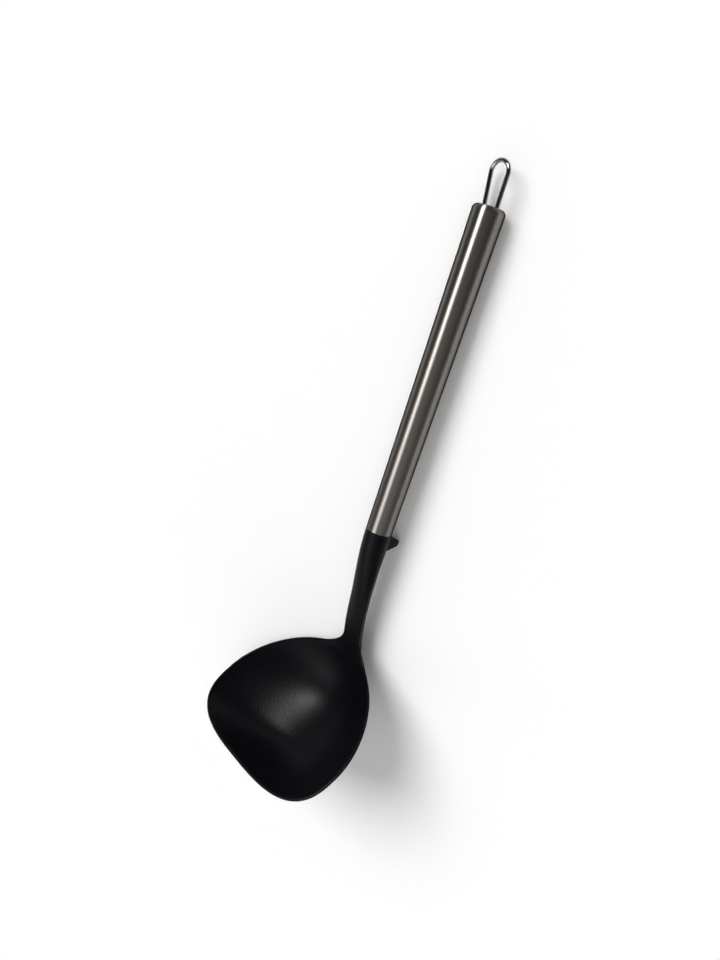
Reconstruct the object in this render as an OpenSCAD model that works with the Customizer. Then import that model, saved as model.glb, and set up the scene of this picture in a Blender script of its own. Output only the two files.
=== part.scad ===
// Soup ladle: a moulded head with bowl, neck and rest fin, plugged into a tapered steel tube
// that carries a bent wire hanging loop. The ladle is drawn along the axis of its tube
// (+X to the loop, +Z to the front, where the bowl opens) and then laid down as it rests.

/* [Handle tube] */
// Length of the tube from its lower edge to the face of its closed end
tube_len = 163; // [120:1:220]
// Outer diameter at the lower edge
tube_d_low = 13.6; // [11:0.1:15]
// Outer diameter at the closed end
tube_d_high = 16; // [14.5:0.1:20]
// Sheet thickness of the tube
tube_wall = 0.6; // [0.4:0.1:1]
// Outside rounding of the closed end
end_round = 2.4; // [1.5:0.1:3.5]

/* [Hanging loop] */
// Thickness of the wire
wire_d = 2.2; // [1.6:0.1:2.6]
// Distance between the legs at the closed end, centre to centre
leg_gap = 8; // [7:0.1:9]
// Widest distance between the wire's centre lines
loop_w = 10.4; // [9.5:0.1:14]
// Reach of the loop beyond the closed end
loop_reach = 21.6; // [16:0.1:40]
// Lean of the loop towards the front, from the closed end on
loop_lean = 6; // [0:0.5:10]
// Inner radius of the bends that hold the legs behind the closed end
foot_bend = 0.4; // [0.2:0.1:0.6]

/* [Bowl] */
// Width of the mouth over its edge
bowl_w = 99.5; // [70:0.5:120]
// Distance from the widest line of the mouth to the front lip
front_reach = 30; // [24:0.5:40]
// Distance from the widest line of the mouth back to where its sides would meet
back_reach = 50; // [45:0.5:65]
// Fullness of the front corners of the mouth, 2 is an ellipse
front_power = 3; // [2:0.1:4]
// Fullness of the sides behind the widest line, 2 is an ellipse
back_power = 1.82; // [1.5:0.02:2.4]
// Depth of the hollow below the mouth
bowl_depth = 25.5; // [20:0.5:34]
// Thickness of the wall at the bottom of the bowl
bowl_wall = 2; // [1.5:0.1:3]
// Thickness of the edge of the mouth
edge_t = 1.6; // [1.2:0.1:2.2]
// Angle between the mouth and the tube
mouth_angle = 44; // [36:0.25:50]

/* [Neck] */
// Length of the neck along the tube's axis
neck_len = 66; // [56:1:90]
// How far the neck bends back at its lower end
neck_drop = 7; // [4:0.1:11]
// Width of the flat front of the neck at its root
neck_w = 12.6; // [10:0.1:13.6]
// Depth of the neck at its root
neck_t = 6.2; // [4.5:0.1:8]
// Radius of the turn from the neck into the edge of the mouth
elbow_r = 8.5; // [6:0.5:14]
// Depth of the fillet over the corner between the neck and the side of the mouth
root_fillet = 3.4; // [1:0.1:6]

/* [Rest fin] */
// Reach of the fin behind the surface of the neck
fin_reach = 8.6; // [5:0.1:10]
// Thickness of the fin
fin_t = 3.4; // [2.5:0.1:4.5]
// Length of the blunt tip of the fin
fin_tip = 2.8; // [2:0.1:4]

/* [Plug] */
// Length of the plug inside the tube
plug_len = 34; // [20:1:60]
// Clearance between the plug and the tube
plug_clear = 0.1; // [0.05:0.01:0.2]

/* [Hidden] */

mouth_color = "#17171a";
steel_color = "#a9a6a1";
wire_color = "#c4c6c8";

tube_r_low = tube_d_low / 2;
tube_r_high = tube_d_high / 2;

// Exponents of the bowl's cross profile and long profile, 2 is a parabola
cross_power = 2;
long_power = 4;
// Exponent of the neck's backward bend, and of its change from round to flat
bend_power = 3;
flat_power = 1.5;
// The back thickens from this share of the straight edge on, up to the elbow
spread_from = 0.4;
// The rib that carries on from the neck under the bowl is at most this many necks wide
rib_spread = 1.8;

// Root of the neck: slope of its bend, and the turn from there into the mouth
root_slope = atan(bend_power * neck_drop / neck_len);
turn = root_slope + mouth_angle;
elbow_len = elbow_r * turn * PI / 180;
// The flat neck starts this far behind the outline of the mouth
root_run = 2.7;
// The straight part of the edge, from the widest line to the elbow
side_len = back_reach + root_run - elbow_len;

// Steps of the surface
cross_steps = 10;
edge_steps = 3;
side_steps = 13;
elbow_steps = 9;
neck_steps = 14;
fan_steps = 24;
// Exponent that sets the neck's rings closer together near its root
neck_grade = 1.4;

// Directions in the plane of symmetry, as [x, z]: from the mouth up the edge, and out of it
function dir(a) = [cos(a), sin(a)];
function out(a) = [-sin(a), cos(a)];

// The edge line from the widest line (s = 0) to the tube, as [x, z, angle]
function neck_at(x) = [x, -neck_drop * pow(-x / neck_len, bend_power),
    atan(neck_drop * bend_power / neck_len * pow(-x / neck_len, bend_power - 1))];
root = neck_at(-neck_len);
elbow_centre = [root.x, root.y] + elbow_r * out(root_slope);
function elbow_at(a) = [each (elbow_centre - elbow_r * out(a)), a];
elbow_end = elbow_at(-mouth_angle);
widest = [elbow_end.x, elbow_end.y] - side_len * dir(-mouth_angle);
function side_at(s) = [each (widest + s * dir(-mouth_angle)), -mouth_angle];

// Half width at s behind the widest line: the outline of the mouth, carried on as a straight
// line from its last tenth, meets the side of the neck in a hollow fillet
line_from = 0.9 * back_reach;
function mouth_half(s) = bowl_w / 2 * pow(1 - pow(s / back_reach, back_power), 1 / back_power);
function mouth_slope(s) = bowl_w / 2 / back_reach * pow(s / back_reach, back_power - 1) *
    pow(1 - pow(s / back_reach, back_power), 1 / back_power - 1);
function outline_half(s) = s < line_from ? mouth_half(s) :
    mouth_half(line_from) - mouth_slope(line_from) * (s - line_from);
function half_width(s) = let (m = outline_half(s)) let (n = neck_w / 2)
    let (reach = 4 * root_fillet)
    abs(m - n) < reach ? (m + n + reach / 2 + pow(m - n, 2) / reach / 2) / 2 : max(m, n);

// The floor of the hollow in the plane of symmetry runs on from the flat front of the neck:
// its depth under the straight edge, and then under the elbow at the angle a
corner = side_len + elbow_r * tan(turn / 2);
function hollow_at(s) = bowl_depth * (1 - pow(s / corner, long_power));
elbow_share = hollow_at(side_len) / (elbow_r / cos(turn) - elbow_r);
function elbow_hollow(a) = elbow_share * (elbow_r / cos(root_slope - a) - elbow_r);
function mix(p, q, k) = p * (1 - k) + q * k;
function smooth(t) = let (c = max(0, min(1, t))) c * c * (3 - 2 * c);
// How far the back has changed at s from the thin wall of the bowl to the thick neck
function spread(s) = smooth((s / side_len - spread_from) / (1 + elbow_len / side_len - spread_from));

// Half a cross section as [y, z], from the middle of the hollow over the edge to the back:
// w half width, hollow its depth, t thickness in the middle, k from 0 in the bowl to 1 in the neck
function belly(u) = 1 - pow(u, cross_power);
function rib(y, k) = pow(max(0, 1 - pow(y / (neck_w / 2 * mix(rib_spread, 1, k)), 2)), mix(2, 0.5, k));
function shell_half(w, hollow, t, k) =
    let (lip = edge_t / 2)
    let (inner = min(lip, hollow))
    concat(
        [for (i = [0:cross_steps])
            let (u = sin(90 * i / cross_steps))
            [(w - edge_t) * u, -inner - (hollow - inner) * belly(u)]],
        [for (i = [1:edge_steps])
            let (a = 180 - 180 * i / (edge_steps + 1))
            [w - lip + lip * cos(a), -(a > 90 ? inner : lip) * (1 - sin(a))]],
        [for (i = [cross_steps:-1:0])
            let (u = sin(90 * i / cross_steps))
            [w * u, -lip - (hollow + bowl_wall - lip) * belly(u) - (t - bowl_wall) * rib(w * u, k)]]);
half_count = 2 * cross_steps + 2 + edge_steps;
function round_half(r) = [for (i = [0:half_count - 1])
    let (a = 180 * i / (half_count - 1)) [r * sin(a), r * cos(a)]];

// A half section placed in space, on the side given by sign
function placed(half, at, sign) = [for (p = half)
    let (q = [at.x, at.y] + p.y * out(at.z)) [q.x, sign * p.x, q.y]];
// A whole ring: one side forwards, the other side back, without the two middle points
function ring(half, at) = concat(placed(half, at, 1),
    [for (i = [half_count - 2:-1:1]) placed([half[i]], at, -1)[0]]);

// The neck ends inside the round shoulder of the plug, a hair below its surface
plug_seat = 0.5;
neck_step = 0.05;
shoulder_len = 1.2;

// Sections behind the widest line
side_rings = [for (i = [0:side_steps - 1])
    let (s = side_len * sin(90 * i / side_steps))
    let (t = mix(bowl_wall, neck_t, spread(s)))
    ring(shell_half(half_width(s), hollow_at(s), t, spread(s)), side_at(s))];
elbow_rings = [for (i = [0:elbow_steps - 1])
    let (a = -mouth_angle + turn * i / elbow_steps)
    let (s = side_len + elbow_len * i / elbow_steps)
    let (t = mix(bowl_wall, neck_t, spread(s)))
    ring(shell_half(half_width(s), elbow_hollow(a), t, spread(s)), elbow_at(a))];
neck_rings = [for (i = [0:neck_steps])
    let (t = pow(i / neck_steps, neck_grade))
    let (round = pow(smooth(t), flat_power))
    let (w = half_width(side_len + elbow_len + neck_len * t))
    let (flat = shell_half(w, 0, mix(neck_t, tube_r_low, t), 1))
    ring([for (j = [0:half_count - 1]) mix(flat[j], round_half(tube_r_low - neck_step)[j], round)],
        neck_at(-mix(neck_len, plug_seat, t)))];

// Half sections in front of the widest line, turned about the middle of the mouth
mouth_wide = half_width(0);
function front_r(a) = 1 / pow(
    pow(cos(a) / front_reach, front_power) + pow(sin(a) / mouth_wide, front_power), 1 / front_power);
function fan_point(p, a) = let (q = widest - p.x * cos(a) * dir(-mouth_angle) + p.y * out(-mouth_angle))
    [q.x, p.x * sin(a), q.y];
fan_halves = [for (i = [1:fan_steps - 1])
    let (a = 90 - 180 * i / fan_steps)
    let (r = front_r(abs(a)))
    [for (p = shell_half(r, bowl_depth, bowl_wall, 0)) fan_point(p, a)]];

rings = concat(side_rings, elbow_rings, neck_rings);
ring_points = [for (r = rings) each r];
// The fan leaves out its two middle points, which it shares with the first ring
fan_points = [for (h = fan_halves) for (j = [1:half_count - 2]) h[j]];
skin_points = concat(ring_points, fan_points);

module head_skin() {
    count = 2 * half_count - 2;
    last = len(rings) - 1;
    fan_first = len(ring_points);
    per_fan = half_count - 2;
    // Number of point j of half section i, where 0 and fan_steps are the halves of the first ring
    function id(i, j) = j == 0 ? 0 : j == half_count - 1 ? half_count - 1 :
        i == 0 ? j : i == fan_steps ? count - j : fan_first + (i - 1) * per_fan + j - 1;
    tube_faces = [for (k = [0:last - 1]) for (j = [0:count - 1])
        let (n = (j + 1) % count)
        each [[k * count + j, (k + 1) * count + n, (k + 1) * count + j],
              [k * count + j, k * count + n, (k + 1) * count + n]]];
    fan_faces = [for (i = [0:fan_steps - 1]) for (j = [0:half_count - 2])
        each [if (j > 0) [id(i, j), id(i + 1, j), id(i, j + 1)],
              if (j < half_count - 2) [id(i + 1, j), id(i + 1, j + 1), id(i, j + 1)]]];
    cap = [[for (j = [0:count - 1]) last * count + j]];
    polyhedron(skin_points, concat(tube_faces, fan_faces, cap), convexity = 6);
}

// Points of an arc of radius r that rounds the corner b between a and c
function corner_arc(a, b, c, r, n = 5) =
    let (u = (a - b) / norm(a - b))
    let (v = (c - b) / norm(c - b))
    let (half = acos(u * v) / 2)
    let (m = b + (u + v) / norm(u + v) * r / sin(half))
    let (p = b + u * r / tan(half) - m)
    let (q = b + v * r / tan(half) - m)
    [for (i = [0:n]) let (w = p * (1 - i / n) + q * i / n) m + w / norm(w) * r];

// The fin behind the upper end of the neck, as [x, z]
fin_top = [-1.3, -tube_r_low];
fin_tip_a = [-4.8, -tube_r_low - fin_reach];
fin_tip_b = fin_tip_a + fin_tip * [-cos(10), sin(10)];
fin_foot = [-11.4, -tube_r_low - 0.1];
fin_end = [-15, -tube_r_low - 0.2];
fin_depth = 3;
fin_tip_r = 0.9;
fin_foot_r = 3;
fin_outline = concat(
    [fin_top + [0, fin_depth], fin_top],
    corner_arc(fin_top, fin_tip_a, fin_tip_b, fin_tip_r),
    corner_arc(fin_tip_a, fin_tip_b, fin_foot, fin_tip_r),
    corner_arc(fin_tip_b, fin_foot, fin_end, fin_foot_r),
    [fin_end, fin_end + [0, fin_depth]]);
module rest_fin() {
    rotate([90, 0, 0])
        linear_extrude(fin_t, center = true)
            polygon(fin_outline);
}

// Inner radius of the tube at the distance x from its lower edge
function bore_r(x) = tube_r_low - tube_wall + (tube_r_high - tube_r_low) * x / (tube_len - end_round);

module plug() {
    chamfer = 1.5;
    rotate([0, 90, 0])
        rotate_extrude($fn = 96)
            polygon([
                [0, -shoulder_len],
                [tube_r_low, -shoulder_len],
                [tube_r_low, 0],
                [bore_r(0) - plug_clear, 0],
                [bore_r(plug_len - chamfer) - plug_clear, plug_len - chamfer],
                [bore_r(plug_len) - plug_clear - chamfer, plug_len],
                [0, plug_len]]);
}

module head() {
    color(mouth_color) laid() {
        head_skin();
        rest_fin();
        plug();
    }
}

module handle_tube() {
    inner_round = end_round - tube_wall;
    end_x = tube_len - end_round;
    function end_arc(r) = [for (i = [0:8]) let (a = 90 * i / 8)
        [tube_r_high - end_round + r * cos(a), end_x + r * sin(a)]];
    arc_out = end_arc(end_round);
    arc_in = end_arc(inner_round);
    color(steel_color) laid()
        difference() {
            rotate([0, 90, 0])
                rotate_extrude($fn = 96)
                    polygon(concat(
                        [[bore_r(0), 0], [tube_r_low, 0]],
                        arc_out,
                        [[0, tube_len], [0, tube_len - tube_wall]],
                        [for (i = [8:-1:0]) arc_in[i]]));
            for (side = [-1, 1])
                translate([tube_len - end_round, side * leg_gap / 2, 0])
                    rotate([0, 90, 0])
                        cylinder(r = wire_d / 2 + leg_clear, h = 2 * end_round, $fn = 48);
        }
}

// The wire loop: a round top, two legs that close in a little towards the tube, and feet
// bent outwards behind the closed end
leg_clear = 0.1;
loop_r = loop_w / 2;
loop_x = loop_reach - wire_d / 2 - loop_r;
leg_reach = norm([loop_x, leg_gap / 2]);
leg_lean = 90 - atan2(leg_gap / 2, loop_x) - acos(loop_r / leg_reach);
leg_len = sqrt(pow(leg_reach, 2) - pow(loop_r, 2));
foot_r = wire_d / 2 + foot_bend;
foot_len = 0.5;
foot_gap = 0.2;
// How far the leg runs in past the face before it bends
leg_in = (tube_wall + foot_gap + wire_d / 2 - foot_r * (1 + sin(leg_lean))) / cos(leg_lean);
// Height over the face at which the leaning part starts
lean_from = 0.3;

// Stations along an arc of the wire's middle line, as [x, y, heading]
function arc_run(centre, r, from, to, steps) = [for (i = [0:steps])
    let (a = from + (to - from) * i / steps)
    [each (centre + r * [cos(a), sin(a)]), a + 90 * sign(to - from)]];
top_steps = 11;
foot_steps = 7;
loop_centre = [tube_len + loop_x, 0];
foot_centre = loop_centre + (loop_r + foot_r) * [-sin(leg_lean), cos(leg_lean)]
    - (leg_len + leg_in) * [cos(leg_lean), sin(leg_lean)];
lean_start = [tube_len + lean_from, leg_gap / 2 + lean_from * tan(leg_lean)];
// From the middle of the top down one leg to its foot
half_wire = concat(
    arc_run(loop_centre, loop_r, 0, 90 + leg_lean, top_steps),
    [[each lean_start, 180 + leg_lean]],
    arc_run(foot_centre, foot_r, leg_lean - 90, -180, foot_steps),
    [[foot_centre.x - foot_r, foot_centre.y + foot_len, 90]]);
wire = concat(
    [for (i = [len(half_wire) - 1:-1:1]) let (w = half_wire[i]) [w.x, -w.y, 180 - w.z]],
    half_wire);
wire_sides = 20;
// A point past the face turns forwards about the line where the lean starts
function leaned(p) = let (run = max(0, p.x - lean_start.x)) let (lean = run > 0 ? loop_lean : 0)
    [p.x - run + run * cos(lean) - p.z * sin(lean), p.y, run * sin(lean) + p.z * cos(lean)];
wire_points = [for (w = wire) for (j = [0:wire_sides - 1])
    let (a = 360 * j / wire_sides) let (side = wire_d / 2 * cos(a))
    leaned([w.x - side * sin(w.z), w.y + side * cos(w.z), wire_d / 2 * sin(a)])];

module hanging_loop() {
    last = len(wire) - 1;
    sides = [for (k = [0:last - 1]) for (j = [0:wire_sides - 1])
        let (n = (j + 1) % wire_sides) let (here = k * wire_sides) let (next = here + wire_sides)
        each [[here + j, next + j, next + n], [here + j, next + n, here + n]]];
    ends = [[for (j = [0:wire_sides - 1]) j], [for (j = [wire_sides - 1:-1:0]) last * wire_sides + j]];
    color(wire_color) laid()
        polyhedron(wire_points, concat(sides, ends), convexity = 4);
}

// The ladle lies on the back of its bowl, one corner of the fin and the closed end of the tube.
// Rolled by -roll about the tube's axis and then pitched, these are the axes of the laid frame:
function along(roll, pitch) = [cos(pitch), -sin(pitch) * sin(roll), sin(pitch) * cos(roll)];
function across(roll, pitch) = [0, cos(roll), sin(roll)];
function up(roll, pitch) = [-sin(pitch), -cos(pitch) * sin(roll), cos(pitch) * cos(roll)];
function lowest(points, axis) = min([for (p = points) p * axis]);
function highest(points, axis) = -lowest(points, -axis);

// Heights of the three contacts over the axis, for a roll and a pitch
fin_corners = [for (p = fin_outline) [p.x, fin_t / 2, p.y]];
function fin_low(roll, pitch) = lowest(fin_corners, up(roll, pitch));
function bowl_low(roll, pitch) = lowest(skin_points, up(roll, pitch));
function end_low(pitch) = -(tube_len - end_round) * sin(pitch)
    - (tube_r_high - end_round) * cos(pitch) - end_round;

// The value between low and high at which a rising function f is zero, by halving
function zero_of(f, low, high, steps = 24) = let (middle = (low + high) / 2)
    steps == 0 ? middle :
    f(middle) > 0 ? zero_of(f, low, middle, steps - 1) : zero_of(f, middle, high, steps - 1);
function pitch_at(roll) = zero_of(function(pitch) fin_low(roll, pitch) - end_low(pitch), -15, 15);
rest_roll = zero_of(function(roll) fin_low(roll, pitch_at(roll)) - bowl_low(roll, pitch_at(roll)), 0, 60);
rest_pitch = pitch_at(rest_roll);
rest_along = along(rest_roll, rest_pitch);
rest_across = across(rest_roll, rest_pitch);

// The origin is the middle of the bottom of the laid ladle's box
lay_down = -[
    (lowest(skin_points, rest_along) + highest(wire_points, rest_along)) / 2,
    (lowest(skin_points, rest_across) + highest(skin_points, rest_across)) / 2,
    end_low(rest_pitch)];
module laid() {
    translate(lay_down) rotate([0, rest_pitch, 0]) rotate([-rest_roll, 0, 0]) children();
}

head();
handle_tube();
hanging_loop();
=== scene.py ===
# %% [markdown]
# # A soup ladle: moulded bowl and neck, steel tube, wire loop
#
# The ladle is three separate pieces. The head is one moulding of black nylon: a wide, shallow
# bowl, a neck that grows out of its back edge, and a small fin that keeps the bowl off the
# worktop. The handle is a tapered tube of brushed steel, and a bent wire at its end hangs it up.
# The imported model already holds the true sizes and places, so it is loaded first as a fixed
# frame, and every new piece is made to sit exactly where the frame has it.

# %% Load the frame
from math import acos, atan, atan2, cos, pi, radians, sin, tan

import bmesh
import bpy
import numpy as np
from mathutils import Matrix, Vector


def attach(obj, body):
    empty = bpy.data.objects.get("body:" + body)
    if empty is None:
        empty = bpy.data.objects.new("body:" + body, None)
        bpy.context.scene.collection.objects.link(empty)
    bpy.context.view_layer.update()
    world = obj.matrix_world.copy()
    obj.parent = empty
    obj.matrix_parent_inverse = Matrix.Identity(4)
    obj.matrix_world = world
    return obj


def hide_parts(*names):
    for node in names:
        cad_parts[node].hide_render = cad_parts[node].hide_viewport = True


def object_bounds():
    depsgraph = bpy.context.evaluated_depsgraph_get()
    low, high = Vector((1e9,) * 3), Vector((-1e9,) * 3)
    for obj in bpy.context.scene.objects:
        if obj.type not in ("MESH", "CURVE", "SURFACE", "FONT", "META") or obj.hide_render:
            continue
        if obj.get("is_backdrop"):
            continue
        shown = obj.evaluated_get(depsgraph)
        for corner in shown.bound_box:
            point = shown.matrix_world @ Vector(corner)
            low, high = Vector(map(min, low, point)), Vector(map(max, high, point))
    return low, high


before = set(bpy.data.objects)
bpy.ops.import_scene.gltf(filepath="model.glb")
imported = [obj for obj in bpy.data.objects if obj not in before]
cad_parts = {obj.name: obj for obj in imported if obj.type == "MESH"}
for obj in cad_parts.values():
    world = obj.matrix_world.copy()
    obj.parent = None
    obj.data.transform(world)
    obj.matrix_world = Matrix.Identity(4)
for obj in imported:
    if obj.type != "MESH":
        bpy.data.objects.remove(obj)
cad_box = [list(corner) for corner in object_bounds()]
MM = 0.001
print("loaded", sorted(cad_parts), "box", cad_box)

# %% [markdown]
# ## Where the ladle lies
#
# The ladle lies on its back and a little on one side, so none of its own directions follows the
# room's. It is far easier to model along the handle and then lay the result down. The two packed
# steel pieces say how it lies: the lower rim of the tube is a flat ring, so the normal of its
# plane is the handle's axis, and the wire loop is flat too, so its plane faces the ladle's front.

# %% Measure the ladle's own directions
rim_depth = 2 * MM


def points_of(node):
    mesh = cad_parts[node].data
    flat = np.empty(3 * len(mesh.vertices), np.float32)
    mesh.vertices.foreach_get("co", flat)
    return np.unique(flat.reshape(-1, 3), axis=0).astype(float)


def plane_normal(points):
    return np.linalg.svd(points - points.mean(axis=0))[2][2]


tube_points, loop_points = points_of("handle_tube"), points_of("hanging_loop")
rim = tube_points[tube_points[:, 0] < tube_points[:, 0].min() + rim_depth]
spread = rim - rim.mean(axis=0)
reach = np.linalg.norm(spread, axis=1)
outer = reach > (reach.min() + reach.max()) / 2
# Both circles of the rim share one centre; rcond leaves out the flat rim's own normal
to_centre = np.linalg.lstsq(
    np.c_[2 * spread, outer, np.ones(len(rim))], reach ** 2, rcond=1e-5)[0][:3]
rim_centre = rim.mean(axis=0) + to_centre
along = plane_normal(rim)
along *= np.sign(along @ (loop_points.mean(axis=0) - rim_centre))
front = plane_normal(loop_points)
front -= along * (along @ front)
front *= np.sign(front[2]) / np.linalg.norm(front)
across = np.cross(front, along)
print("axis", along.round(5), "front", front.round(5), "rim", (rim_centre / MM).round(3))

# %% [markdown]
# From here on a point of the ladle is written in millimetres: X runs from the tube's lower rim
# along the handle, Y to the side and Z to the front, where the bowl opens. One matrix turns that
# into the place in the room, in metres.

# %% The ladle's frame
LAY = Matrix.Translation(rim_centre) @ Matrix((along, across, front)).transposed().to_4x4()


def place(x, y, z):
    return LAY @ Vector((x * MM, y * MM, z * MM))


def direction(x, y, z):
    return LAY.to_3x3() @ Vector((x, y, z)).normalized()


tube_len = max((tube_points - rim_centre) @ along) / MM
tube_r_low = reach[outer].mean() / MM
print("tube", round(tube_len, 3), "long, lower radius", round(tube_r_low, 3))

# %% [markdown]
# ## The camera
#
# The photograph was taken from above, about 45 cm away and a little to one side of the handle.
# The camera is placed in the ladle's own frame, because the photograph says where it stood
# relative to the ladle. The lens is a phone's: 32 mm on a 36 mm wide sensor.

# %% Place the camera
camera_at = place(126.86, -280.87, 297.07)
camera_aim = place(17.46, 24.59, 0)
camera_up = direction(0.9194, 0.3886, 0.0609)

camera_data = bpy.data.cameras.new("camera")
camera_data.lens = 31.875
camera_data.sensor_width = 36
camera = bpy.data.objects.new("camera", camera_data)
bpy.context.collection.objects.link(camera)
bpy.context.scene.camera = camera
back = (camera_at - camera_aim).normalized()
right = camera_up.cross(back).normalized()
camera.matrix_world = Matrix.Translation(camera_at) @ Matrix(
    (right, back.cross(right), back)).transposed().to_4x4()
print("camera at", camera_at, "looking down", round(90 - back.angle((0, 0, 1)) * 180 / pi, 1))

# %% [markdown]
# ## Lofting by extrusion
#
# Neck, bowl and wire are all one closed outline that changes its shape and place as it travels.
# A curve with a bevel can't change its section, and a sculpted tube would need many guide
# vertices. So a ring is created once as a circle, and extruded from station to station. Each
# vertex keeps its rank in the ring as a number of its own, which says where it belongs in the
# next outline.

# %% A loft helper
def loft(bm, rings):
    """Draws rings[0] as a circle, extrudes it through the other rings, returns first and last."""
    rank = bm.verts.layers.int.new("rank")
    verts = bmesh.ops.create_circle(bm, segments=len(rings[0]), radius=MM)["verts"]
    for number, vert in enumerate(verts):
        vert[rank] = number
        vert.co = rings[0][number]
    first = edges = list(bm.edges)
    for ring in rings[1:]:
        grown = bmesh.ops.extrude_edge_only(bm, edges=edges)["geom"]
        fresh = [item for item in grown if isinstance(item, bmesh.types.BMVert)]
        for vert in fresh:
            vert.co = ring[vert[rank]]
        fresh = set(fresh)
        edges = [item for item in grown
                 if isinstance(item, bmesh.types.BMEdge) and fresh.issuperset(item.verts)]
    return first, edges


weld, sharp_from = 0.002 * MM, radians(35)


def finish_piece(bm, name, node):
    """Turns the mesh outwards, shades it smooth up to an angle and hands it to the frame."""
    bmesh.ops.remove_doubles(bm, verts=bm.verts, dist=weld)
    bmesh.ops.recalc_face_normals(bm, faces=bm.faces)
    mesh = bpy.data.meshes.new(name)
    print(name, len(bm.faces), "faces,", round(bm.calc_volume() * 1e6, 3), "cm3")
    bm.to_mesh(mesh)
    bm.free()
    mesh.shade_smooth()
    mesh.set_sharp_from_angle(angle=sharp_from)
    piece = bpy.data.objects.new(name, mesh)
    bpy.context.collection.objects.link(piece)
    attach(piece, "root")
    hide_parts(node)
    return piece


# %% [markdown]
# ## The line of the head
#
# Seen from the side, the head follows one line. It runs down from the tube and bends back more
# and more, turns sharply at the elbow, and then runs straight along the rear edge of the mouth
# up to its widest line. Every section of the head hangs on this line, so the line comes first.

# %% The neck, the elbow and the straight rear edge
bowl_w, front_reach, back_reach = 99.5, 30, 50
bowl_depth, bowl_wall, edge_t = 25.5, 2, 1.6
mouth_angle = radians(44)
neck_len, neck_drop, neck_w, neck_t = 66, 7, 12.6, 6.2
elbow_r, root_run, bend_power = 8.5, 2.7, 3

root_slope = atan(bend_power * neck_drop / neck_len)
turn = root_slope + mouth_angle
elbow_len = elbow_r * turn
side_len = back_reach + root_run - elbow_len


def aim(angle):
    return np.array((cos(angle), sin(angle)))


def out(angle):
    return np.array((-sin(angle), cos(angle)))


def neck_line(x):
    """Point and slope of the neck's front at x before the tube's rim."""
    share = -x / neck_len
    slope = atan(neck_drop * bend_power / neck_len * share ** (bend_power - 1))
    return np.array((x, -neck_drop * share ** bend_power)), slope


elbow_centre = neck_line(-neck_len)[0] + elbow_r * out(root_slope)
widest = elbow_centre - elbow_r * out(-mouth_angle) - side_len * aim(-mouth_angle)
print("elbow", elbow_centre.round(2), "widest line", widest.round(2), "turn", round(turn, 3))

# %% [markdown]
# ## The outline of the mouth
#
# The mouth is not an ellipse. In front of its widest line it is a full, squarish curve, and
# behind it the sides run in almost straight and meet the neck in a small hollow fillet. Two
# powered ellipses give the fullness of each half, and the fillet is a piece of a parabola that
# touches the side of the mouth and the side of the neck.

# %% Half widths along the line
front_power, back_power, root_fillet, straight_from = 3, 1.82, 3.4, 0.9


def ellipse_half(s):
    return bowl_w / 2 * (1 - (s / back_reach) ** back_power) ** (1 / back_power)


def mouth_half(s):
    """The powered ellipse, carried on as a straight line from its last tenth."""
    start = straight_from * back_reach
    if s < start:
        return ellipse_half(s)
    fall = (bowl_w / 2 / back_reach * straight_from ** (back_power - 1)
            * (1 - straight_from ** back_power) ** (1 / back_power - 1))
    return ellipse_half(start) - fall * (s - start)


def half_width(s):
    mouth, neck, reach = mouth_half(s), neck_w / 2, 4 * root_fillet
    if abs(mouth - neck) > reach:
        return max(mouth, neck)
    return (mouth + neck + reach / 2 + (mouth - neck) ** 2 / reach / 2) / 2


def front_half(angle):
    """Reach of the mouth in front of the widest line, at an angle from straight ahead."""
    return ((cos(angle) / front_reach) ** front_power
            + (abs(sin(angle)) / half_width(0)) ** front_power) ** (-1 / front_power)


print("half widths", [round(half_width(s), 1) for s in (0, 20, 40, side_len, side_len + elbow_len)])

# %% [markdown]
# ## A section of the shell
#
# Half a section starts in the middle of the hollow, runs up to the edge, round the lip and back
# along the underside. In the bowl both faces are parabolas a wall apart. Towards the neck the
# hollow flattens out and the back thickens, first as a rib and then over the full width, so the
# thin shell turns into the solid neck without a step.

# %% Section shapes
cross_steps, lip_steps = 26, 9
long_power, spread_from, rib_spread, flat_power = 4, 0.4, 1.8, 1.5
half_count = 2 * cross_steps + 2 + lip_steps


def mix(a, b, share):
    return a * (1 - share) + b * share


def smooth(share):
    share = max(0, min(1, share))
    return share * share * (3 - 2 * share)


def shell_half(w, hollow, thick, neckness):
    """Half a section as rows of (y, z), hollow side first."""
    lip = edge_t / 2
    inner = min(lip, hollow)
    u = np.sin(np.linspace(0, pi / 2, cross_steps + 1))
    belly = 1 - u ** 2
    face = np.c_[(w - edge_t) * u, -inner - (hollow - inner) * belly]
    angle = pi - pi * np.arange(1, lip_steps + 1) / (lip_steps + 1)
    depth = np.where(angle > pi / 2, inner, lip)
    edge = np.c_[w - lip + lip * np.cos(angle), -depth * (1 - np.sin(angle))]
    y = w * u
    rib = np.maximum(0, 1 - (y / (neck_w / 2 * mix(rib_spread, 1, neckness))) ** 2)
    back = np.c_[y, -lip - (hollow + bowl_wall - lip) * belly
                 - (thick - bowl_wall) * rib ** mix(2, 0.5, neckness)]
    return np.r_[face, edge, back[::-1]]


def round_half(r):
    angle = pi * np.arange(half_count) / (half_count - 1)
    return r * np.c_[np.sin(angle), np.cos(angle)]


def ring(half, at, slope):
    """A whole ring in the room: one side forwards, the other side back."""
    both = np.r_[half, (half * (-1, 1))[-2:0:-1]]
    spots = at + both[:, 1:] * out(slope)
    return [place(x, y, z) for (x, z), y in zip(spots, both[:, 0])]


# %% [markdown]
# ## The rings of the head
#
# The stations are spaced closely where the line turns and widely where it is straight. The
# hollow's floor keeps its depth along the bowl, rises near the elbow and ends exactly on the flat
# front of the neck. The last rings are round: they make the shoulder against the tube, and the
# plug that sits inside it.

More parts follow.
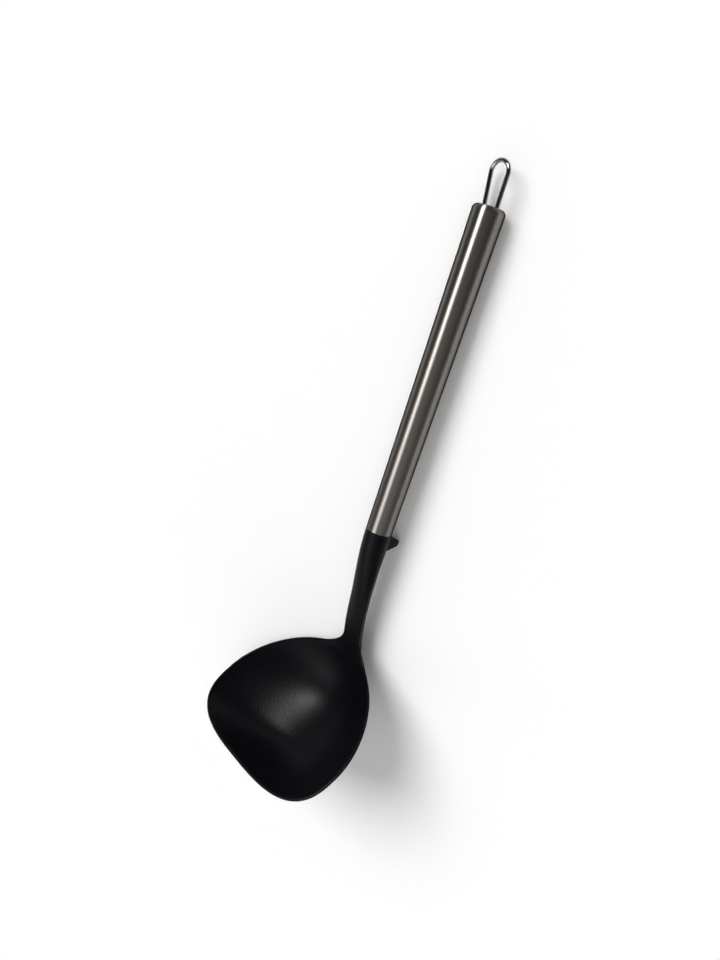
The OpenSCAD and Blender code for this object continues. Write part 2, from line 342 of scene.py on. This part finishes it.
# %% Rings from the widest line to the end of the plug
side_steps, elbow_steps, neck_steps = 40, 26, 56
plug_len, plug_clear, plug_chamfer, shoulder_edge = 34, 0.1, 1.5, 0.15
tube_r_high, tube_wall, end_round = 8, 0.6, 2.4
tube_taper = (tube_r_high - tube_r_low) / (tube_len - end_round)
corner = side_len + elbow_r * tan(turn / 2)


def hollow_depth(s):
    return bowl_depth * (1 - (s / corner) ** long_power)


def head_section(s):
    neckness = smooth((s / side_len - spread_from) / (1 + elbow_len / side_len - spread_from))
    thick = mix(bowl_wall, neck_t, neckness)
    if s < side_len:
        at, slope, hollow = widest + s * aim(-mouth_angle), -mouth_angle, hollow_depth(s)
    else:
        slope = (s - side_len) / elbow_r - mouth_angle
        at = elbow_centre - elbow_r * out(slope)
        share = hollow_depth(side_len) / (1 / cos(turn) - 1)
        hollow = share * (1 / cos(root_slope - slope) - 1)
    return ring(shell_half(half_width(s), hollow, thick, neckness), at, slope)


def neck_section(share):
    w = half_width(side_len + elbow_len + neck_len * share)
    flat = shell_half(w, 0, mix(neck_t, tube_r_low, share), 1)
    half = mix(flat, round_half(tube_r_low), smooth(share) ** flat_power)
    at, slope = neck_line(-neck_len * (1 - share))
    return ring(half, at, slope)


def plug_section(r, x):
    return ring(round_half(r), np.array((x, 0)), 0)


side_rings = [head_section(side_len * sin(pi / 2 * k / side_steps)) for k in range(side_steps)]
elbow_rings = [head_section(side_len + elbow_len * k / elbow_steps) for k in range(elbow_steps)]
neck_rings = [neck_section(k / neck_steps) for k in range(neck_steps)]
bore_low = tube_r_low - tube_wall - plug_clear
plug_rings = [
    plug_section(tube_r_low, -shoulder_edge),
    plug_section(tube_r_low - shoulder_edge, 0),
    plug_section(bore_low, 0),
    plug_section(bore_low + tube_taper * (plug_len - plug_chamfer), plug_len - plug_chamfer),
    plug_section(bore_low + tube_taper * plug_len - plug_chamfer, plug_len)]
head_rings = side_rings + elbow_rings + neck_rings + plug_rings
print(len(head_rings), "rings of", len(head_rings[0]), "points")

# %% [markdown]
# ## The front of the bowl
#
# In front of the widest line the bowl is turned rather than drawn out: half a section swings
# round the middle of the mouth like a door. Spin does that. It leaves a round front, so each
# swung section is then stretched to the reach that the squarish outline has at its angle. The
# walls keep their thickness, because the section is worked out anew for that reach.

# %% Loft the head and spin its front
fan_steps = 72


def mouth_angle_of(point, centre, ahead, sideways):
    arm = point - centre
    return atan2(arm.dot(sideways), arm.dot(ahead))


def fan_spot(half_point, angle):
    y, z = half_point
    x_at, z_at = widest - y * cos(angle) * aim(-mouth_angle) + z * out(-mouth_angle)
    return place(x_at, y * sin(angle), z_at)


bm = bmesh.new()
first_ring, last_ring = loft(bm, head_rings)
bmesh.ops.holes_fill(bm, edges=last_ring)
rank = bm.verts.layers.int["rank"]
near_side = [edge for edge in first_ring if max(vert[rank] for vert in edge.verts) < half_count]
near_verts = {vert for edge in near_side for vert in edge.verts}
near_verts = sorted(near_verts, key=lambda vert: vert[rank])
mouth_centre = place(widest[0], 0, widest[1])
mouth_up = direction(-sin(-mouth_angle), 0, cos(mouth_angle))
ahead, sideways = direction(-cos(mouth_angle), 0, sin(mouth_angle)), direction(0, 1, 0)
already = len(bm.verts)
bmesh.ops.spin(bm, geom=near_side + near_verts, cent=mouth_centre, axis=mouth_up,
               angle=pi * np.sign(mouth_up.dot(sideways.cross(ahead))), steps=fan_steps,
               use_merge=False, use_duplicate=False)
bm.verts.ensure_lookup_table()
for vert in bm.verts[already:]:
    angle = mouth_angle_of(vert.co, mouth_centre, ahead, sideways)
    # The ends of the swung section lie on the hinge itself, where every angle is the same
    if vert[rank] in (0, half_count - 1):
        angle = 0
    half = shell_half(front_half(angle), bowl_depth, bowl_wall, 0)
    vert.co = fan_spot(half[vert[rank]], angle)
print("front of the bowl:", len(bm.verts) - already, "points swung round")
head = finish_piece(bm, "ladle_head", "head")

# %% [markdown]
# ## The rest fin
#
# Behind the top of the neck stands a small plate with a blunt tip. It is the foot that keeps the
# bowl off the worktop. Its outline has only five corners, so they are placed as vertices and
# rounded with a vertex bevel, the face is extruded through the plate's thickness and its edges
# are broken. It is then joined to the head with a boolean, because the two are one moulding.

# %% Model the fin and join it
fin_reach, fin_t, fin_tip, fin_depth, fin_break = 8.6, 3.4, 2.8, 3, 0.35
fin_tip_r, fin_foot_r, fin_corner_steps = 0.9, 3, 8
fin_top_x, fin_tip_x, fin_foot_x, fin_end_x = -1.3, -4.8, -11.4, -15
foot_sink, end_sink, tip_slope = 0.1, 0.2, radians(10)


def fin_corners():
    """Outline of the fin as (x, z), with its root sunk into the neck."""
    top = np.array((fin_top_x, -tube_r_low))
    tip_a = np.array((fin_tip_x, -tube_r_low - fin_reach))
    tip_b = tip_a + fin_tip * np.array((-cos(tip_slope), sin(tip_slope)))
    foot = np.array((fin_foot_x, -tube_r_low - foot_sink))
    end = np.array((fin_end_x, -tube_r_low - end_sink))
    inside = np.array((0, fin_depth))
    return [top + inside, top, tip_a, tip_b, foot, end, end + inside]


def round_corner(bm, vert, r, segments):
    """Rounds one corner of a flat outline with an arc of radius r."""
    arms = [edge.other_vert(vert).co - vert.co for edge in vert.link_edges]
    offset = r * MM / tan(arms[0].angle(arms[1]) / 2)
    bmesh.ops.bevel(bm, geom=[vert], offset=offset, offset_type="OFFSET", segments=segments,
                    profile=0.5, affect="VERTICES", material=-1, clamp_overlap=True)


bm = bmesh.new()
outline = [bm.verts.new(place(x, -fin_t / 2, z)) for x, z in fin_corners()]
for a, b in zip(outline, outline[1:] + outline[:1]):
    bm.edges.new((a, b))
for vert, r in ((outline[2], fin_tip_r), (outline[3], fin_tip_r), (outline[4], fin_foot_r)):
    round_corner(bm, vert, r, fin_corner_steps)
plate = bmesh.ops.contextual_create(bm, geom=bm.verts[:] + bm.edges[:])["faces"]
grown = bmesh.ops.extrude_face_region(bm, geom=plate)["geom"]
bmesh.ops.translate(bm, verts=[item for item in grown if isinstance(item, bmesh.types.BMVert)],
                    vec=direction(0, 1, 0) * fin_t * MM)
bmesh.ops.recalc_face_normals(bm, faces=bm.faces)
side = direction(0, 1, 0)
flats = [face for face in bm.faces if abs(face.normal.dot(side)) > 0.9]
rims = [edge for face in flats for edge in face.edges]
bmesh.ops.bevel(bm, geom=rims, offset=fin_break * MM, offset_type="OFFSET", segments=3,
                profile=0.5, affect="EDGES", material=-1, clamp_overlap=True)
fin_mesh = bpy.data.meshes.new("fin")
bm.to_mesh(fin_mesh)
bm.free()
fin = bpy.data.objects.new("fin", fin_mesh)
bpy.context.collection.objects.link(fin)


def cut_or_join(piece, tool, operation):
    """Applies a boolean to the piece's own mesh and removes the tool."""
    boolean = piece.modifiers.new("boolean", "BOOLEAN")
    boolean.operation, boolean.solver, boolean.object = operation, "EXACT", tool
    bpy.context.view_layer.update()
    result = bpy.data.meshes.new_from_object(
        piece.evaluated_get(bpy.context.evaluated_depsgraph_get()))
    piece.modifiers.clear()
    piece.data = result
    bpy.data.objects.remove(tool)
    result.set_sharp_from_angle(angle=sharp_from)
    print(piece.name, operation.lower(), "now", len(result.polygons), "faces")


cut_or_join(head, fin, "UNION")

# %% [markdown]
# ## The handle tube
#
# The tube is drawn steel: one sheet-thin wall, a little wider at the top, with a closed and
# softly rounded end. It is a turned form, so its wall is drawn once as a closed outline of six
# corners, the corners are rounded, and the outline is spun round the axis. The lower rim gets a
# tiny broken edge, which is what catches the light as a thin line in the photograph.

# %% Spin the tube
rim_break, turned_steps = 0.12, 224


def wall_corners():
    """Corners of the wall as (x, radius), round the section."""
    grow = tube_taper * end_round
    return [(tube_len - tube_wall, 0), (tube_len - tube_wall, tube_r_high - tube_wall),
            (0, tube_r_low - tube_wall), (0, tube_r_low),
            (tube_len, tube_r_high + grow), (tube_len, 0)]


bm = bmesh.new()
chain = [bm.verts.new(place(x, 0, r)) for x, r in wall_corners()]
for a, b in zip(chain, chain[1:]):
    bm.edges.new((a, b))
inner_steps, rim_steps, outer_steps = 6, 3, 14
for vert, r, steps in ((chain[1], end_round - tube_wall, inner_steps),
                       (chain[3], rim_break, rim_steps), (chain[4], end_round, outer_steps)):
    round_corner(bm, vert, r, steps)
bmesh.ops.spin(bm, geom=bm.verts[:] + bm.edges[:], cent=place(0, 0, 0), axis=direction(1, 0, 0),
               angle=2 * pi, steps=turned_steps, use_merge=True, use_duplicate=False)
tube = finish_piece(bm, "steel_tube", "handle_tube")

# %% [markdown]
# Two small holes in the closed end take the legs of the wire. They are cut with two drills, made
# as cylinders that stand across the end face.

# %% Drill the end
wire_d, leg_gap, leg_clear = 2.2, 8, 0.1
drill_r, drill_depth, drill_sides = (wire_d / 2 + leg_clear) * MM, 6 * MM, 48
turn_to_axis = direction(1, 0, 0).to_track_quat("Z", "Y").to_matrix().to_4x4()
for side_sign in (-1, 1):
    bm = bmesh.new()
    spot = place(tube_len - end_round, side_sign * leg_gap / 2, 0)
    bmesh.ops.create_cone(bm, cap_ends=True, segments=drill_sides, radius1=drill_r,
                          radius2=drill_r, depth=drill_depth,
                          matrix=Matrix.Translation(spot) @ turn_to_axis)
    drill_mesh = bpy.data.meshes.new("drill")
    bm.to_mesh(drill_mesh)
    bm.free()
    drill = bpy.data.objects.new("drill", drill_mesh)
    bpy.context.collection.objects.link(drill)
    cut_or_join(tube, drill, "DIFFERENCE")

# %% [markdown]
# ## The hanging loop
#
# The loop is one length of round wire: a half turn at the top, two legs that close in a little
# and lean slightly forwards, and short feet bent outwards behind the closed end, which keep it
# from pulling out. The wire's middle line is made of arcs, and the same loft carries a round
# ring along it.

# %% Loft the wire
loop_w, loop_reach, foot_bend, foot_len, foot_gap = 10.4, 21.6, 0.4, 0.5, 0.2
loop_lean, lean_from = radians(6), 0.3
wire_sides, top_steps, foot_steps = 28, 30, 12
loop_r = loop_w / 2
loop_x = loop_reach - wire_d / 2 - loop_r
leg_reach = (loop_x ** 2 + (leg_gap / 2) ** 2) ** 0.5
leg_lean = pi / 2 - atan2(leg_gap / 2, loop_x) - acos(loop_r / leg_reach)
foot_r = wire_d / 2 + foot_bend
leg_in = (tube_wall + foot_gap + wire_d / 2 - foot_r * (1 + sin(leg_lean))) / cos(leg_lean)
leg_len = (leg_reach ** 2 - loop_r ** 2) ** 0.5 + leg_in


def arc(centre, r, start, end, steps):
    """Stations (x, y, heading) along an arc."""
    heading = pi / 2 if end > start else -pi / 2
    return [(centre[0] + r * cos(a), centre[1] + r * sin(a), a + heading)
            for a in np.linspace(start, end, steps + 1)]


loop_centre = np.array((tube_len + loop_x, 0))
foot_centre = loop_centre + (loop_r + foot_r) * out(leg_lean) - leg_len * aim(leg_lean)
lean_start = (tube_len + lean_from, leg_gap / 2 + lean_from * tan(leg_lean))
half_wire = (arc(loop_centre, loop_r, 0, pi / 2 + leg_lean, top_steps)
             + [(*lean_start, pi + leg_lean)]
             + arc(foot_centre, foot_r, leg_lean - pi / 2, -pi, foot_steps)
             + [(foot_centre[0] - foot_r, foot_centre[1] + foot_len, pi / 2)])
wire_line = [(x, -y, pi - heading) for x, y, heading in half_wire[:0:-1]] + half_wire


def leaned(x, y, z):
    """Past the face the loop turns forwards about the line where its lean starts."""
    run = x - lean_start[0]
    if run > 0:
        x, z = lean_start[0] + run * cos(loop_lean) - z * sin(loop_lean), (
            run * sin(loop_lean) + z * cos(loop_lean))
    return place(x, y, z)


def wire_ring(x, y, heading):
    around = [2 * pi * k / wire_sides for k in range(wire_sides)]
    r = wire_d / 2
    return [leaned(x - r * cos(a) * sin(heading), y + r * cos(a) * cos(heading), r * sin(a))
            for a in around]


bm = bmesh.new()
first_end, last_end = loft(bm, [wire_ring(*station) for station in wire_line])
bmesh.ops.holes_fill(bm, edges=first_end)
bmesh.ops.holes_fill(bm, edges=last_end)
wire = finish_piece(bm, "wire_loop", "hanging_loop")

# %% [markdown]
# ## Finishes
#
# Three finishes make the ladle: satin black nylon, steel brushed round the tube, and bright
# drawn wire. Each is a Principled shader whose plain values stand on its own sockets, with noise
# that breaks up the gloss as the real surface does. A few helpers keep the recipes short.

# %% Material helpers
def new_material(name, **values):
    material = bpy.data.materials.new(name)
    material.use_nodes = True
    shader = material.node_tree.nodes["Principled BSDF"]
    for socket, value in values.items():
        shader.inputs[socket.replace("_", " ")].default_value = value
    print("finish", name, "with", len(values), "plain values")
    return material, material.node_tree, shader


def add(tree, kind, **values):
    node = tree.nodes.new(kind)
    for key, value in values.items():
        if hasattr(node, key):
            setattr(node, key, value)
        else:
            node.inputs[key.replace("_", " ")].default_value = value
    return node


def noise_on(tree, vector, scale, detail=3):
    noise = add(tree, "ShaderNodeTexNoise", Scale=scale, Detail=detail, Roughness=0.5)
    tree.links.new(vector, noise.inputs["Vector"])
    return noise.outputs["Fac"]


def bump_from(tree, shader, height, strength, distance):
    bump = add(tree, "ShaderNodeBump", Strength=strength, Distance=distance)
    tree.links.new(height, bump.inputs["Height"])
    tree.links.new(bump.outputs["Normal"], shader.inputs["Normal"])


def map_range(tree, value, low, high):
    span = add(tree, "ShaderNodeMapRange", To_Min=low, To_Max=high)
    tree.links.new(value, span.inputs["Value"])
    return span.outputs["Result"]


# %% [markdown]
# The nylon comes out of a spark-eroded mould, whose grain is about a millimetre wide and only a
# tenth of that deep. It breaks the gleam in the bowl into fine mottles. A slower noise lets the
# gloss wander a little, as it does where hands and washing have polished it.

# %% Satin black nylon
nylon, tree, shader = new_material(
    "satin_black_nylon", Base_Color=(0.0022, 0.0021, 0.0036, 1), IOR=1.5, Specular_IOR_Level=0.09)
wear_scale, grain_scale, grain_depth = 60, 800, 0.08 * MM
spot = add(tree, "ShaderNodeTexCoord").outputs["Object"]
wear = noise_on(tree, spot, wear_scale)
tree.links.new(map_range(tree, wear, 0.34, 0.42), shader.inputs["Roughness"])
bump_from(tree, shader, noise_on(tree, spot, grain_scale), 1, grain_depth)
head.data.materials.clear()
head.data.materials.append(nylon)

# %% [markdown]
# The tube was brushed while it turned, so the marks run round it. They are far too fine to model,
# but they are why a lamp shows as one long streak: such a surface scatters light along the handle
# and hardly round it. The shader's anisotropy does the same, and its tangent says which way. Its
# black specular tint is painted shade: it darkens the tube's outer edges, where the metal would
# else turn white. The tube gets a UV map whose U runs along the outline of the wall, from the
# lower rim over the rounded end to the middle of the face, and whose V runs round the axis.

# %% Brushed steel
# The black specular tint is painted shade on the tube's outer edges
steel, tree, shader = new_material(
    "brushed_steel", Base_Color=(0.218, 0.204, 0.188, 1), Metallic=1, Roughness=0.35,
    Anisotropic=1, Specular_Tint=(0, 0, 0, 1))


def wrap_map(piece):
    """UV map: U in metres along the outline of the wall, V once round the handle's axis."""
    inverse = LAY.inverted()
    layer = piece.data.uv_layers.new(name="wrap")
    for polygon in piece.data.polygons:
        spots = [inverse @ piece.data.vertices[v].co for v in polygon.vertices]
        turns = [atan2(p.y, p.z) / (2 * pi) for p in spots]
        for loop_index, p, turn_share in zip(polygon.loop_indices, spots, turns):
            if max(turns) - min(turns) > 0.5 and turn_share < 0:
                turn_share += 1
            layer.data[loop_index].uv = (p.x - Vector((p.y, p.z)).length, turn_share)


wrap_map(tube)
uv = add(tree, "ShaderNodeUVMap", uv_map="wrap").outputs["UV"]
marks_along, marks_round, mark_depth = 9000, 4, 0.02 * MM
stretch = add(tree, "ShaderNodeMapping", Scale=(marks_along, marks_round, 1))
tree.links.new(uv, stretch.inputs["Vector"])
marks = noise_on(tree, stretch.outputs["Vector"], 1, detail=2)
tree.links.new(map_range(tree, marks, 0.31, 0.39), shader.inputs["Roughness"])
bump_from(tree, shader, marks, 0.08, mark_depth)
grain = add(tree, "ShaderNodeTangent", direction_type="UV_MAP", uv_map="wrap")
tree.links.new(grain.outputs["Tangent"], shader.inputs["Tangent"])
tube.data.materials.clear()
tube.data.materials.append(steel)

# %% [markdown]
# The wire was drawn through a die and polished, so it is nearly a mirror. Its gloss changes a
# little from place to place, which keeps the thin glints on it from looking ruled.

# %% Bright wire
bright, tree, shader = new_material(
    "bright_wire", Base_Color=(0.32, 0.32, 0.33, 1), Metallic=1, Roughness=0.12)
polish_scale = 400
spot = add(tree, "ShaderNodeTexCoord").outputs["Object"]
polish = noise_on(tree, spot, polish_scale)
tree.links.new(map_range(tree, polish, 0.08, 0.18), shader.inputs["Roughness"])
wire.data.materials.clear()
wire.data.materials.append(bright)

# %% [markdown]
# ## The table
#
# The ladle lies on a plain white table that has no end in sight. It is matt, so it takes the
# shadow but mirrors nothing.

# %% White table
floor_material, tree, shader = new_material(
    "white_table", Base_Color=(0.93, 0.93, 0.93, 1), Roughness=0.9, Specular_IOR_Level=0)
table_reach = 30
bm = bmesh.new()
bmesh.ops.create_grid(bm, x_segments=1, y_segments=1, size=table_reach)
floor_mesh = bpy.data.meshes.new("table")
bm.to_mesh(floor_mesh)
bm.free()
floor = bpy.data.objects.new("table", floor_mesh)
bpy.context.collection.objects.link(floor)
floor.data.materials.append(floor_material)
floor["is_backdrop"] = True
print("table", 2 * table_reach, "m wide")

# %% [markdown]
# ## The lamps
#
# A soft sun from the upper left draws the shadow, and a weak light from the whole sky keeps that
# shadow pale. Together they make the table just white. Neither has a shape that could be
# mirrored. What the steel and the nylon mirror is two softboxes, which light nothing else: the
# near one is the streak along the tube and the gleam in the bowl, and the far one, beyond the
# bowl, adds to the streak at the tube's lower end.

# %% Sun, fill and softboxes
def aimed_lamp(name, kind, at, to, **values):
    data = bpy.data.lights.new(name, kind)
    for key, value in values.items():
        setattr(data, key, value)
    lamp = bpy.data.objects.new(name, data)
    bpy.context.collection.objects.link(lamp)
    lamp.location = at
    lamp.rotation_euler = (Vector(to) - Vector(at)).to_track_quat("-Z", "Y").to_euler()
    print("lamp", name, "energy", round(data.energy, 2))
    return lamp


table_middle, ladle_middle = (0, 0, 0), (-0.03, 0, 0)
sun = aimed_lamp("soft_sun", "SUN", (0.44, 0.46, 0.80), table_middle,
                 energy=2.28, angle=radians(36))
fill = aimed_lamp("whole_sky", "SUN", (0, 0, 1), table_middle,
                  energy=0.235 * pi, angle=radians(170))
sun.visible_glossy = fill.visible_glossy = False


def softbox(name, at, radiance, length, width):
    """A rectangular lamp above the ladle, its length along the room's X as far as it can."""
    lamp = aimed_lamp(name, "AREA", at, ladle_middle, energy=radiance * pi * length * width,
                      shape="RECTANGLE", size=length, size_y=width)
    outward = (Vector(at) - Vector(ladle_middle)).normalized()
    sideward = (Vector((1, 0, 0)) - outward * outward.x).normalized()
    lamp.matrix_world = Matrix.Translation(at) @ Matrix(
        (sideward, outward.cross(sideward), outward)).transposed().to_4x4()
    lamp.visible_diffuse = False


softbox("near_softbox", (0.83, 0.60, 1.10), 51, 0.40, 0.46)
softbox("far_softbox", (-0.50, 0.64, 1.27), 2.6, 0.72, 0.95)

# %% [markdown]
# The room around the table is mostly dark, which gives the steel its dark bands. Only the horizon
# is grey, and high up beyond the bowl there is a glow that lifts the lower half of the tube.

# %% The dark room
world = bpy.data.worlds.new("dark_room")
bpy.context.scene.world = world
world.use_nodes = True
tree = world.node_tree
looking = add(tree, "ShaderNodeSeparateXYZ")
tree.links.new(add(tree, "ShaderNodeTexCoord").outputs["Generated"], looking.inputs["Vector"])
horizon = add(tree, "ShaderNodeMapRange", interpolation_type="SMOOTHSTEP",
              From_Min=0.45, From_Max=0, To_Min=0, To_Max=0.3)
tree.links.new(looking.outputs["Z"], horizon.inputs["Value"])
glow = add(tree, "ShaderNodeMapRange", interpolation_type="SMOOTHSTEP",
           From_Min=0, From_Max=-0.85, To_Min=0.01, To_Max=2.0)
tree.links.new(looking.outputs["X"], glow.inputs["Value"])
rise = add(tree, "ShaderNodeMapRange", From_Min=0.2, From_Max=1, To_Min=0.1, To_Max=1)
tree.links.new(looking.outputs["Z"], rise.inputs["Value"])
room = add(tree, "ShaderNodeMath", operation="MULTIPLY_ADD")
tree.links.new(glow.outputs["Result"], room.inputs[0])
tree.links.new(rise.outputs["Result"], room.inputs[1])
tree.links.new(horizon.outputs["Result"], room.inputs[2])
tree.links.new(room.outputs["Value"], tree.nodes["Background"].inputs["Color"])
bpy.context.scene.view_settings.view_transform = "Standard"

# %% [markdown]
# ## Compare the size
#
# The box of the visual model is set against the imported model's box: how far each corner lies off
# is printed in millimetres, so a piece that has grown or slipped shows at once.

# %% Print how far the boxes lie apart
visual_box = [list(corner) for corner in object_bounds()]
for side_name, cad_corner, visual_corner in zip(("low", "high"), cad_box, visual_box):
    print(side_name, [round((v - c) / MM, 3) for c, v in zip(cad_corner, visual_corner)], "mm off")
